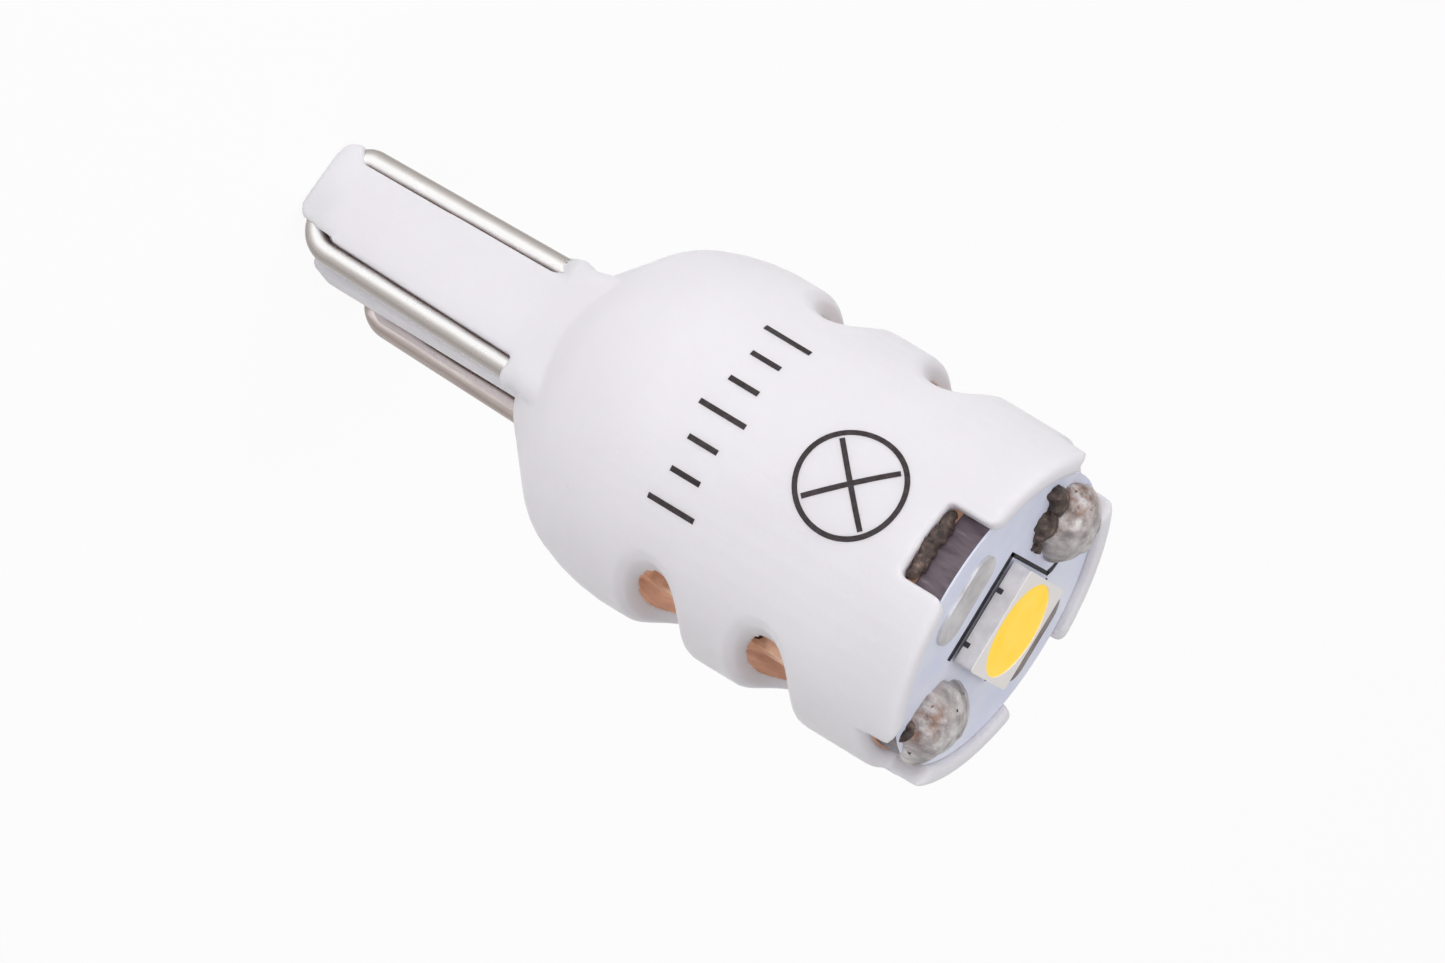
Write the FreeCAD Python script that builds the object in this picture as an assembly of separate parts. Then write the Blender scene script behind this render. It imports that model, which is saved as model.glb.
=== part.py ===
"""Wedge base LED bulb: a moulded white housing with a flat wedge foot, two hairpin contact wires,
an upright driver board inside, and a round LED board in the open head.

Frame: millimetres, +Z along the bulb's axis from the wedge tip to the LED, X across the wedge's
width, Y across its thickness, and the origin on the axis at the wedge's end. The heights below
are counted from the wires' lowest point, and every piece is lifted to that frame at the end."""
import FreeCAD, Part
import math
import os
from FreeCAD import Vector as V

# overall heights
RIM_Z = 22.35                # top of the housing's four rim tabs
BODY_R = 5.15                # radius of the round body at the vents
DRAFT = 0.07                 # the mould draft takes this off the radius at the rim
RIM_R = BODY_R - DRAFT
WALL = 0.60                  # wall of the round body
BORE_R = RIM_R - WALL        # radius of the open head
RIM_LIP = 0.14               # bevel round the outside of the rim

# shoulder that closes the back of the body
SHOULDER_Z = 12.8            # where the straight body begins
SHOULDER_CORNER = (BODY_R - 0.45, 9.92)  # radius and height of the shoulder's rounded corner
FOOT_R = 2.45                # radius where the cone meets the foot plane
FOOT_Z = 7.60                # height of the foot plane
CAVITY_Z = 9.7               # floor of the hollow
CAVITY_CONE = (0.96, 1.15)   # inset and height of the sloping edge of that floor
CAVITY_TAPER = 0.42          # the hollow is this much tighter low in the shoulder

# contact wires
WIRE_R = 0.32
WIRE_X = 2.85                # the hairpins stand this far each side of the axis
WIRE_BEND_R = 0.90           # bend at each corner of the hairpin
WIRE_SINK = 0.02             # the wires lie this deep in the wedge's faces
GROOVE_CLEAR = 0.02          # between a wire and its slot or hole
WIRE_BLIND_Z = 8.9           # the folded end stops in a blind hole here
WIRE_END_Z = 13.1            # the inner end is soldered to the driver board here
BEAD_R = 0.50                # largest radius of the bead where a wire enters the body
BEAD_Z = (7.10, 7.72, 8.35)  # bottom, widest place and top of the beads

# wedge foot
WEDGE_HALF_W = WIRE_X + WIRE_R + 0.18    # half of the wedge's width, just outside the wires
END_Z = -0.20                # the wedge's end, beyond the wires' lowest point
WEDGE_TIP_T = 2.24           # thickness at the tip
WEDGE_FOOT_T = 2.70          # thickness inside the shoulder
WEDGE_TOP_Z = 11.6           # the wedge runs this far into the shoulder
TIP_NOSE_R = (0.18, 0.72)    # rounding of the end across the thickness: its -Y edge and its +Y edge
TIP_CORNER_R = 0.15          # rounding of the end's two corners, across the width
EDGE_R = 0.34                # rounding of the wedge's long edges
ROOT = ((3.36, 1.56, 7.50), (3.46, 1.80, 9.20))  # half width, half thickness, height of the root
ROOT_EDGE_R = 0.60           # rounding of the root's four edges

# raised rib along the middle of both faces
RIB_HALF_W = 0.68
RIB_HALF_T = 1.60            # from the middle plane to the rib's face
RIB_NOSE_R = 0.25            # rounding of its end
RIB_EDGE_R = 0.12            # rounding of its long edges

# rim cut-outs
WINDOW_W = 2.30              # the two windows over the wedge's edges
WINDOW_DEPTH = 1.42
SLOT_DEPTH = 1.12
SLOT_W = 3.70                # the two side slots beside the solder domes
CUT_FLARE = 0.32             # rounded shoulders of each cut-out at the rim
CUT_CORNER = 0.05            # rounding of its lower corners

# side vents
VENT_PITCH = 0.383 * (RIM_Z - SHOULDER_Z)    # height from the lower pair to the upper pair
VENT_Z = (SHOULDER_Z + 0.405 * VENT_PITCH, SHOULDER_Z + 1.405 * VENT_PITCH)
VENT_R = 0.246 * VENT_PITCH
VENT_DEPTH = (1.25 * VENT_R, 1.30 * VENT_R)    # how deep each pair goes into the body
VENT_LIP_R = 0.24 * VENT_R   # rounded lips of the vents

# boards
BOARD_T = 0.90               # round LED board
BOARD_TOP = RIM_Z - 0.25
BOARD_BOTTOM = BOARD_TOP - BOARD_T
BOARD_CLEAR = 0.03           # round the board's edge
DRIVER_T = 0.80              # upright driver board
DRIVER_CLEAR = 0.46          # between the driver board's edges and the bore
DRIVER_HALF_W = BORE_R - DRIVER_CLEAR
DRIVER_BOTTOM = 11.1
DRIVER_CORNER = 0.9          # its lower corners are cut off
DRIVER_TAB_TOP = BOARD_TOP + 0.30
TAB_CLEAR = 0.06

# light-emitting diode
LED_SIDE = 3.10
LED_H = 0.66
LED_YAW = 10.0               # the diode sits a little turned on its board
LED_POCKET_R = 1.42
LED_POCKET_DEPTH = 0.22
LED_CORNER = 0.12
PHOSPHOR_SINK = 0.03         # the phosphor's surface below the frame's top
TERMINAL = (0.92, 2.60, 0.10)    # width, length and thickness of a solder terminal
TERMINAL_X = 0.86

# solder
BLOB = (0.268 * BORE_R, 0.92)    # foot radius and height of a tab's solder dome
BLOB_Y = BORE_R - BLOB[0] - 0.05
DRIVER_TAB = (BLOB_Y - 0.53 * BLOB[0], BLOB_Y + 0.53 * BLOB[0])  # the tabs' two edges
PAD_OVAL = (1.15, 2.70, 0.09)    # width, length and height of the tinned oval pad
PAD_OVAL_X = BORE_R - 1.46
JOINT = (0.62, 0.34, 0.70)   # foot radius, top radius and height of a wire's joint inside

# parts on the driver board: width along Y, height along Z, stand-off, bevel of the edges
CHIP = (2.90, 3.90, 1.25, 0.14)
RECTIFIER = (2.70, 3.80, 1.15, 0.14)
RESISTOR = (0.85, 1.60, 0.50, 0.06)
CAPACITOR = (1.25, 2.00, 0.95, 0.08)

# where each part sits: face of the board, share of its half width, share of its height
CHIP_AT = (1, -0.15, 0.64)
RECTIFIER_AT = (-1, 0.12, 0.64)
RESISTOR_AT = ((1, 0.65, 0.62), (-1, 0.72, 0.36))
CAPACITOR_AT = ((-1, -0.62, 0.62), (1, -0.70, 0.25))


def arc3(p, q, r):
    """Circular edge through three points."""
    return Part.Arc(p, q, r).toShape()


def prism(points, direction):
    """Closed straight-sided outline pushed along a direction."""
    face = Part.Face(Part.makePolygon(points + [points[0]]))
    return face.extrude(direction)


def rounded_path(points, radius):
    """Wire of straight runs joined by tangent arcs of one radius."""
    edges = []
    start = points[0]
    for before, corner, after in zip(points, points[1:], points[2:]):
        a = (before - corner).normalize()
        b = (after - corner).normalize()
        half = a.getAngle(b) / 2.0
        reach = radius / math.tan(half)
        middle = (a + b).normalize()
        crown = corner + middle * (radius / math.sin(half) - radius)
        first = corner + a * reach
        last = corner + b * reach
        edges.append(Part.LineSegment(start, first).toShape())
        edges.append(arc3(first, crown, last))
        start = last
    edges.append(Part.LineSegment(start, points[-1]).toShape())
    return Part.Wire(edges)


def tube(points, bend, radius):
    """Round rod that follows a path with rounded bends."""
    path = rounded_path(points, bend)
    section = Part.Wire(Part.makeCircle(radius, points[0], points[1] - points[0]))
    return path.makePipe(Part.Face(section))


def rounded_box(width, length, height, corner):
    """Block centred on the axis, standing on the origin plane, with rounded upright edges."""
    box = Part.makeBox(width, length, height, V(-width / 2, -length / 2, 0))
    upright = [e for e in box.Edges if abs(e.tangentAt(e.FirstParameter).z) > 0.9]
    return box.makeFillet(corner, upright)


def oval_disc(width, length, height):
    """Flat disc with straight sides and round ends, standing on the origin plane."""
    r = width / 2
    h = length / 2 - r
    edges = [Part.LineSegment(V(r, -h, 0), V(r, h, 0)).toShape(),
             arc3(V(r, h, 0), V(0, h + r, 0), V(-r, h, 0)),
             Part.LineSegment(V(-r, h, 0), V(-r, -h, 0)).toShape(),
             arc3(V(-r, -h, 0), V(0, -h - r, 0), V(r, -h, 0))]
    return Part.Face(Part.Wire(edges)).extrude(V(0, 0, height))


def turned(shape, degrees):
    """The shape turned about the bulb's axis."""
    return shape.rotated(V(0, 0, 0), V(0, 0, 1), degrees)


def body_blank():
    """Revolved outside of the body: rim, straight wall, rounded shoulder, cone and foot plane."""
    lip = RIM_LIP
    corner_r, corner_z = SHOULDER_CORNER
    cone_end = V(corner_r - 0.62, 0, corner_z - 0.70)
    corner_end = V(corner_r + 0.04, 0, corner_z + 0.30)
    corner_mid = V(corner_r - 0.16, 0, corner_z - 0.13)
    wall_mid = V((BODY_R + corner_r) / 2 + 0.14, 0, (SHOULDER_Z + corner_z) / 2)
    corner = Part.Arc(cone_end, corner_mid, corner_end).discretize(Number=5)
    curve = Part.Arc(corner_end, wall_mid, V(BODY_R, 0, SHOULDER_Z)).discretize(Number=5)
    profile = [V(0, 0, FOOT_Z), V(FOOT_R, 0, FOOT_Z)] + corner + curve[1:]
    profile += [V(RIM_R, 0, RIM_Z - lip), V(RIM_R - lip, 0, RIM_Z), V(0, 0, RIM_Z)]
    face = Part.Face(Part.makePolygon(profile + [profile[0]]))
    return face.revolve(V(0, 0, 0), V(0, 0, 1), 360)


def cavity():
    """Revolved hollow of the body: a straight bore open at the head, and a coned floor."""
    inset, rise = CAVITY_CONE
    slope_r = BORE_R - CAVITY_TAPER
    profile = [V(0, 0, CAVITY_Z), V(slope_r - inset, 0, CAVITY_Z), V(slope_r, 0, CAVITY_Z + rise),
               V(BORE_R, 0, SHOULDER_Z), V(BORE_R, 0, RIM_Z + 1), V(0, 0, RIM_Z + 1)]
    face = Part.Face(Part.makePolygon(profile + [profile[0]]))
    return face.revolve(V(0, 0, 0), V(0, 0, 1), 360)


def vents():
    """Four straight troughs across the body's sides, two on each side."""
    cutters = []
    for z, depth in zip(VENT_Z, VENT_DEPTH):
        for side in (-1, 1):
            start = V(-BODY_R, side * (BODY_R - depth + VENT_R), z)
            cutters.append(Part.makeCylinder(VENT_R, 2 * BODY_R, start, V(1, 0, 0)))
    return cutters


def rim_cut(width, depth, reach):
    """Cutter for one rim opening: square floor with small corners, flared where it meets the rim."""
    w = width / 2
    f = CUT_FLARE
    c = CUT_CORNER
    top = RIM_Z
    low = RIM_Z - depth
    k = 1 - math.sqrt(0.5)
    outline = [V(0, -w - f, top), V(0, -w, top - f), V(0, -w, low + c), V(0, -w + c, low),
               V(0, w - c, low), V(0, w, low + c), V(0, w, top - f), V(0, w + f, top),
               V(0, w + f, top + 1), V(0, -w - f, top + 1)]
    middles = {0: V(0, -w - f * k, top - f * k), 2: V(0, -w + c * k, low + c * k),
               4: V(0, w - c * k, low + c * k), 6: V(0, w + f * k, top - f * k)}
    edges = []
    for i, point in enumerate(outline):
        after = outline[(i + 1) % len(outline)]
        if i in middles:
            edges.append(arc3(point, middles[i], after))
        else:
            edges.append(Part.LineSegment(point, after).toShape())
    block = Part.Face(Part.Wire(edges)).extrude(V(reach, 0, 0))
    block.translate(V(BORE_R - 1.2, 0, 0))
    return block


def face_half(z):
    """Half thickness of the wedge at a height."""
    share = z / WEDGE_TOP_Z
    return (WEDGE_TIP_T + (WEDGE_FOOT_T - WEDGE_TIP_T) * share) / 2


def rounded_section(w, t, r, z):
    """Rounded rectangle across the wedge at a height: half width, half thickness, corner radius."""
    k = r * (1 - math.sqrt(0.5))
    corners = [(w, t), (-w, t), (-w, -t), (w, -t)]
    edges = []
    for i, (x, y) in enumerate(corners):
        sx = math.copysign(1, x)
        sy = math.copysign(1, y)
        flat = V(x - sx * r, y, z)
        upright = V(x, y - sy * r, z)
        first, last = (upright, flat) if sx == sy else (flat, upright)
        edges.append(arc3(first, V(x - sx * k, y - sy * k, z), last))
        nx, ny = corners[(i + 1) % 4]
        if sx == sy:
            after = V(nx - math.copysign(r, nx), ny, z)
        else:
            after = V(nx, ny - math.copysign(r, ny), z)
        edges.append(Part.LineSegment(last, after).toShape())
    return Part.Wire(edges)


def end_trim(half, top, left, right, axis):
    """Upright cutter with rounded bottom corners: half width, height, both corner radii, its axis."""
    share = 1 - math.sqrt(0.5)
    i = left * share
    k = right * share
    reach = 2 * WEDGE_HALF_W

    def at(u, z):
        return V(-reach, u, z) if axis == "x" else V(u, -reach, z)

    z = END_Z
    edges = [Part.LineSegment(at(-half + left, z), at(half - right, z)).toShape(),
             arc3(at(half - right, z), at(half - k, z + k), at(half, z + right)),
             Part.LineSegment(at(half, z + right), at(half, top)).toShape(),
             Part.LineSegment(at(half, top), at(-half, top)).toShape(),
             Part.LineSegment(at(-half, top), at(-half, z + left)).toShape(),
             arc3(at(-half, z + left), at(-half + i, z + i), at(-half + left, z))]
    along = V(2 * reach, 0, 0) if axis == "x" else V(0, 2 * reach, 0)
    return Part.Face(Part.Wire(edges)).extrude(along)


def wire_y(z):
    """Distance of a wire's centre from the middle plane at a height: it lies in the wedge's face."""
    low = face_half(WIRE_R) + WIRE_R - WIRE_SINK
    high = face_half(FOOT_Z) + WIRE_R - WIRE_SINK
    return low + (high - low) * (z - WIRE_R) / (FOOT_Z - WIRE_R)


def loft(sections):
    """Ruled solid through rounded rectangles, each given as half sizes, height and corner radius."""
    return Part.makeLoft([rounded_section(w, t, r, z) for w, t, z, r in sections], True, True)


def wedge():
    """Flat tapering foot with rounded ends, a raised middle rib, and a root that spreads to the body."""
    top = WEDGE_TOP_Z
    low = END_Z
    blade = loft([(WEDGE_HALF_W, face_half(low), low, EDGE_R),
                  (WEDGE_HALF_W, face_half(top), top, EDGE_R)])
    nose_z = low + max(TIP_NOSE_R)
    above = Part.makeBox(4 * WEDGE_HALF_W, WEDGE_FOOT_T, top - nose_z,
                         V(-2 * WEDGE_HALF_W, -WEDGE_FOOT_T / 2, nose_z))
    nose = end_trim(face_half(nose_z), nose_z + 1, *TIP_NOSE_R, "x")
    blade = blade.common(nose.fuse(above))
    blade = blade.common(end_trim(WEDGE_HALF_W, top + 1, TIP_CORNER_R, TIP_CORNER_R, "y"))
    high = FOOT_Z + 1.0
    rib = loft([(RIB_HALF_W, RIB_HALF_T, low, RIB_EDGE_R), (RIB_HALF_W, RIB_HALF_T, high, RIB_EDGE_R)])
    rib = rib.common(end_trim(RIB_HALF_T, top + 1, RIB_NOSE_R, RIB_NOSE_R, "x"))
    root = loft([part + (ROOT_EDGE_R,) for part in ROOT])
    return blade.fuse([rib, root])


def beads():
    """Small double cone of plastic about each wire leg where it enters the body."""
    low, wide, high = BEAD_Z
    found = []
    for sx in (-1, 1):
        for sy in (-1, 1):
            foot = V(sx * WIRE_X, sy * wire_y(wide), 0)
            lower = Part.makeCone(WIRE_R, BEAD_R, wide - low, foot + V(0, 0, low))
            upper = Part.makeCone(BEAD_R, WIRE_R, high - wide, foot + V(0, 0, wide))
            found.append(lower.fuse(upper))
    return found


def wire_points(side):
    """Corner points of one hairpin, from its joint on the driver board to its folded end."""
    x = side * WIRE_X
    board_x = side * (DRIVER_T / 2 + WIRE_R)
    inside = CAVITY_Z + 0.75
    y_in = side * wire_y(inside)
    y_tip = side * wire_y(WIRE_R)
    return [V(board_x, y_in, WIRE_END_Z), V(board_x, y_in, CAVITY_Z + 2.4),
            V(x, y_in, inside), V(x, y_tip, WIRE_R),
            V(x, -y_tip, WIRE_R), V(x, -side * wire_y(WIRE_BLIND_Z), WIRE_BLIND_Z)]


def contact_wire(side):
    """One hairpin wire, folded over the wedge's end, with its inner end on the driver board."""
    return tube(wire_points(side), WIRE_BEND_R, WIRE_R)


def wire_slot(side):
    """Cutter for one hairpin: a slot round the wedge's end, and a straight hole for each leg."""
    r = WIRE_R + GROOVE_CLEAR
    x = side * WIRE_X
    bend = WIRE_BEND_R - r
    turn_y = wire_y(WIRE_R) - WIRE_BEND_R
    turn_z = WIRE_R + WIRE_BEND_R
    c = bend * math.sqrt(0.5)
    core = [(turn_y, turn_z - bend), (turn_y + c, turn_z - c), (turn_y + bend, turn_z)]
    right = [V(x - r, y, z) for y, z in core]
    left = [V(x - r, -y, z) for y, z in reversed(core)]
    slot = Part.makeBox(2 * r, 4 * turn_z, turn_z - 2 * END_Z, V(x - r, -2 * turn_z, 2 * END_Z))
    cutters = [slot.cut(prism(right + left, V(2 * r, 0, 0)))]
    for way, end in ((side, CAVITY_Z + 0.9), (-side, WIRE_BLIND_Z + 0.1)):
        low = turn_z - GROOVE_CLEAR
        start = V(x, way * wire_y(low), low)
        stop = V(x, way * wire_y(end), end)
        cutters.append(Part.makeCylinder(r, (stop - start).Length, start, stop - start))
    return cutters


def housing():
    """Moulded housing: body, wedge and beads in one piece, hollow, vented and notched."""
    body = body_blank()
    for cutter in vents():
        body = body.cut(cutter)
    lips = [e for e in body.Edges if is_vent_lip(e)]
    body = body.makeChamfer(VENT_LIP_R, lips)
    body = body.fuse([wedge()] + beads()).removeSplitter()
    body = body.cut(cavity())
    for angle in (0, 180):
        body = body.cut(turned(rim_cut(WINDOW_W, WINDOW_DEPTH, 4), angle))
        body = body.cut(turned(rim_cut(SLOT_W, SLOT_DEPTH, 4), angle + 90))
    for side in (-1, 1):
        body = body.cut(wire_slot(side))
    return body


def is_vent_lip(edge):
    """True for the edge where a vent's trough breaks through the body's outside."""
    box = edge.BoundBox
    near = any(abs(box.Center.z - z) < 0.2 for z in VENT_Z)
    return near and box.ZLength < 2.2 * VENT_R and box.XLength > 3


def led_board():
    """Round board with a slot at each side for the driver board's tabs."""
    board = Part.makeCylinder(BORE_R - BOARD_CLEAR, BOARD_T)
    inner, outer = DRIVER_TAB
    for side in (0, 180):
        slot = Part.makeBox(DRIVER_T + 2 * TAB_CLEAR, outer - inner + 2 * TAB_CLEAR, BOARD_T + 2,
                            V(-DRIVER_T / 2 - TAB_CLEAR, inner - TAB_CLEAR, -1))
        board = board.cut(turned(slot, side))
    board.translate(V(0, 0, BOARD_BOTTOM))
    return board


def driver_board():
    """Upright board across the body, with two tabs through the round board."""
    inner, outer = DRIVER_TAB
    w = DRIVER_HALF_W
    x = -DRIVER_T / 2
    top = BOARD_BOTTOM
    low = DRIVER_BOTTOM
    cut = DRIVER_CORNER
    half = [(0, low), (w - cut, low), (w, low + cut), (w, top), (outer, top),
            (outer, DRIVER_TAB_TOP), (inner, DRIVER_TAB_TOP), (inner, top), (0, top)]
    right = [V(x, y, z) for y, z in half[1:-1]]
    left = [V(x, -y, z) for y, z in reversed(half[1:-1])]
    return prism(right + left, V(DRIVER_T, 0, 0))


def solder_dome(foot_r, height):
    """Rounded mound of solder: a ball cut off at its foot."""
    ball_r = (foot_r ** 2 + height ** 2) / (2 * height)
    ball = Part.makeSphere(ball_r, V(0, 0, height - ball_r))
    span = 2 * ball_r + 1
    return ball.common(Part.makeBox(span, span, span, V(-span / 2, -span / 2, 0)))


def tab_solder(side):
    """Solder dome over one driver-board tab, seated on the round board."""
    mound = solder_dome(*BLOB)
    mound.translate(V(0, side * BLOB_Y, BOARD_TOP))
    return mound.cut(driver_board())


def led_frame():
    """Moulded diode frame with a round pocket for the phosphor."""
    lift = TERMINAL[2]
    block = rounded_box(LED_SIDE, LED_SIDE, LED_H - lift, LED_CORNER)
    pocket = Part.makeCone(LED_POCKET_R - 0.08, LED_POCKET_R, LED_POCKET_DEPTH,
                           V(0, 0, LED_H - lift - LED_POCKET_DEPTH))
    block = block.cut(pocket)
    block.translate(V(0, 0, BOARD_TOP + lift))
    return turned(block, LED_YAW)


def led_phosphor():
    """Phosphor disc that fills the frame's pocket."""
    h = LED_POCKET_DEPTH - PHOSPHOR_SINK
    top_r = LED_POCKET_R - 0.08 * PHOSPHOR_SINK / LED_POCKET_DEPTH
    disc = Part.makeCone(LED_POCKET_R - 0.08, top_r, h, V(0, 0, BOARD_TOP + LED_H - LED_POCKET_DEPTH))
    return turned(disc, LED_YAW)


def led_terminal(side):
    """Flat solder terminal under the frame."""
    width, length, height = TERMINAL
    plate = Part.makeBox(width, length, height,
                         V(side * TERMINAL_X - width / 2, -length / 2, BOARD_TOP))
    return turned(plate, LED_YAW)


def oval_pad(side):
    """Tinned oval pad on the round board, beside the diode."""
    pad = oval_disc(*PAD_OVAL)
    pad.translate(V(side * PAD_OVAL_X, 0, BOARD_TOP))
    return turned(pad, LED_YAW)


def wire_joint(side):
    """Solder mound that holds a contact wire's end on the driver board."""
    foot_r, top_r, height = JOINT
    y = wire_points(side)[0].y
    start = V(side * DRIVER_T / 2, y, WIRE_END_Z)
    mound = Part.makeCone(foot_r, top_r, height, start, V(side, 0, 0))
    return mound.cut(contact_wire(side))


def on_driver(size, place):
    """Small moulded component standing on one face of the driver board."""
    width, height, stand, bevel = size
    side, across, up = place
    block = Part.makeBox(stand, width, height, V(0, -width / 2, -height / 2))
    outer = [e for e in block.Edges if e.BoundBox.XMin > stand * 0.9]
    block = block.makeChamfer(bevel, outer)
    if side < 0:
        block = turned(block, 180)
    z = DRIVER_BOTTOM + up * (BOARD_BOTTOM - DRIVER_BOTTOM)
    block.translate(V(side * DRIVER_T / 2, across * DRIVER_HALF_W, z))
    return block


def build():
    """Every piece of the bulb, by node name."""
    nodes = {"housing": housing(), "led_board": led_board(), "driver_board": driver_board(),
             "led_frame": led_frame(), "led_phosphor": led_phosphor()}
    for side, letter in ((1, "a"), (-1, "b")):
        nodes["contact_wire_" + letter] = contact_wire(side)
        nodes["wire_joint_" + letter] = wire_joint(side)
        nodes["tab_solder_" + letter] = tab_solder(side)
        nodes["led_terminal_" + letter] = led_terminal(side)
        nodes["oval_pad_" + letter] = oval_pad(side)
    nodes["driver_chip"] = on_driver(CHIP, CHIP_AT)
    nodes["rectifier"] = on_driver(RECTIFIER, RECTIFIER_AT)
    for i, letter in enumerate("ab"):
        nodes["resistor_" + letter] = on_driver(RESISTOR, RESISTOR_AT[i])
        nodes["capacitor_" + letter] = on_driver(CAPACITOR, CAPACITOR_AT[i])
    return nodes


os.makedirs("parts", exist_ok=True)
for name, shape in build().items():
    solid = shape.Solids[0]
    solid.translate(V(0, 0, -END_Z))
    solid.exportStep("parts/" + name + ".step")
    print(name, len(shape.Solids), solid.isValid(), round(solid.Volume, 3))
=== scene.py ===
"""Looks of the wedge base LED bulb: finishes for its pieces, the light and the camera."""
import math

import bmesh
import bpy
import numpy as np
from mathutils import Matrix, Vector


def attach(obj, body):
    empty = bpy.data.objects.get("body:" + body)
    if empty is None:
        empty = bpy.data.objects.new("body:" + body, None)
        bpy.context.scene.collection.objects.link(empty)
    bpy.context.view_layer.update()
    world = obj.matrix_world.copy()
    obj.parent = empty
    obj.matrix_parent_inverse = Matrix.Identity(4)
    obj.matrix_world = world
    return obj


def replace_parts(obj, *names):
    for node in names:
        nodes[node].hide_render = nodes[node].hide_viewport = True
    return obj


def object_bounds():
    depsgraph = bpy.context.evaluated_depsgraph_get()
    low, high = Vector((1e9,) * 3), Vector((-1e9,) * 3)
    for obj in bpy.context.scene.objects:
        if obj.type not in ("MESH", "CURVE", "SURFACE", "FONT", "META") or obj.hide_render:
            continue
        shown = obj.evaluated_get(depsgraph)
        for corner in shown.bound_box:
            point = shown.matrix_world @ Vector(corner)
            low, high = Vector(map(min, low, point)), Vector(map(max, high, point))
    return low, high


MM = 0.001

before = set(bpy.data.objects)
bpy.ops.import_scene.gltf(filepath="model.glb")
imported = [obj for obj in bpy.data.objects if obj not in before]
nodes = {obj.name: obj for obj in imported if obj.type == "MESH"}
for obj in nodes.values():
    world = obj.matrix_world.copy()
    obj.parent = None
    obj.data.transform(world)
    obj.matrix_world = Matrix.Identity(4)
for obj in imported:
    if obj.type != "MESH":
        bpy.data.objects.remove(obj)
cad_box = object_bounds()

# ---- sizes in millimetres; heights are above the plastic tip of the wedge
LIFT = 0.20                             # the wires' lowest point
RIM_Z = 22.55
BODY_R, BODY_DRAFT, BODY_FROM_Z = 5.15, 0.07, 13.0
INNER_R = 4.52                          # just outside the bore's wall
HOLLOW_Z = 10.6                         # above this the space inside is wholly within the bore
BOARD_LOW_Z, BOARD_Z = 21.4, 22.3
MASK_T = 0.06                           # the round board's pale layer
LED_HALF, LED_TURN, LED_TOP_Z = 1.55, 10.0, 22.96     # the turn is in degrees
LED_FACE_T = 0.03

# contact wires: thickness, places of their corners, and radii of their bends
WIRE_R, WIRE_X, WIRE_BOARD_X, WIRE_SINK = 0.32, 2.85, 0.72, 0.02
WIRE_BEND_R, WIRE_TIGHT_R = 0.90, 0.50  # the tight one is on the wedge's thicker edge
WIRE_IN_Z, WIRE_END_Z, WIRE_BLIND_Z = 10.65, 13.3, 9.1
WIRE_END_RUN = 1.0                      # straight run on the driver board
BEND_STEPS, PATH_GAP, WIRE_SIDES = 14, 0.25, 32
WEDGE_T, WEDGE_RUN, FOOT_Z = (2.24, 2.70), 11.6, 7.60

# the housing's soft skin: grid step, relaxing rounds, and the share of facets kept
SKIN_STEP, SKIN_RELAX, SKIN_KEEP = 0.075, 6, 0.25
WELD = 1e-6                             # metres
# edges round the +Y wires' ends that are cut back: between two heights, and near a wire
BEAD_Z, BEAD_REACH = (7.25, 7.80), 0.56
# fillings joined to the housing: sections of half width, half thickness, middle Y and height,
# then the corners' radius
FILLINGS = (
    (((3.38, 1.84, 0.0, 7.92), (3.44, 2.02, 0.0, 8.60), (3.50, 2.20, 0.0, 9.40)), 0.50),
    (((3.22, 0.60, -0.60, 0.03), (3.33, 0.70, -0.70, 0.12), (3.34, 0.78, -0.78, 0.35),
      (3.34, 0.79, -0.79, 0.56), (3.34, 0.60, -0.60, 0.80)), 0.20),
    (((3.33, 0.56, -0.57, 0.30), (3.34, 0.63, -0.65, 8.00)), 0.06),
    (((3.33, 0.56, 0.59, 1.40), (3.34, 0.63, 0.65, 8.00)), 0.06),
)

# solder domes: place, half sizes and height
DOME_AT, DOME_HALF = (0.04, 3.23), (1.24, 1.20, 0.90)
# flux on the round board: x, y, half sizes and height
FLUX_SPOTS = (
    (1.15, -2.62, 0.66, 0.46, 0.34), (0.72, -2.04, 0.30, 0.16, 0.16),
    (1.55, -3.25, 0.62, 0.40, 0.36), (0.98, 3.95, 0.22, 0.30, 0.24),
    (-1.15, 2.15, 0.14, 0.08, 0.06),
)
# flux on the driver board, seen in the upper vent: its path, and half sizes of its section
VENT_FLUX = ((0.34, 3.74, 16.92), (0.52, 3.78, 17.00), (0.72, 3.82, 17.10))
VENT_FLUX_HALF = (0.15, 0.26)
# glue below the round board's edge: distance from the axis, half run, height, half sizes
GLUE_R, GLUE_RUN, GLUE_Z, GLUE_HALF = 4.62, 1.06, 21.28, (0.30, 0.23)

# waves that make a dome or a bead uneven: how many go round it, and how they shift along it
DOME_WAVES = ((2, 1.0), (3, 2.0), (5, 3.0), (7, 1.5), (11, 4.0))
BEAD_WAVES = ((1, 2.0), (2, 5.0), (3, 9.0), (1, 14.0))
DOME_SIDES, DOME_ROWS, DOME_FOOT, DOME_TIP = 48, 22, 0.12, 0.04    # the last two in radians
BEAD_SIDES, BEAD_ROWS = 14, 40

# lines round the diode: printed ones and a dark one along its far side; points outward and along
# its near side, and the line's width
INK_T = 0.008
BOARD_LINES = {
    "board_line_near": (((1.66, 1.60), (1.65, 0.5), (1.66, -0.6), (1.65, -1.70)), 0.24),
    "board_line_end": (((1.76, -1.66), (0.6, -1.68), (-0.6, -1.70), (-1.62, -1.72)), 0.12),
    "board_line_hook": (((-1.50, -1.72), (-1.66, -1.90), (-1.74, -2.20)), 0.24),
    "board_line_far": (((-1.70, 1.60), (-1.70, 0.5), (-1.70, -0.6), (-1.70, -1.60)), 0.14),
}
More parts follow.
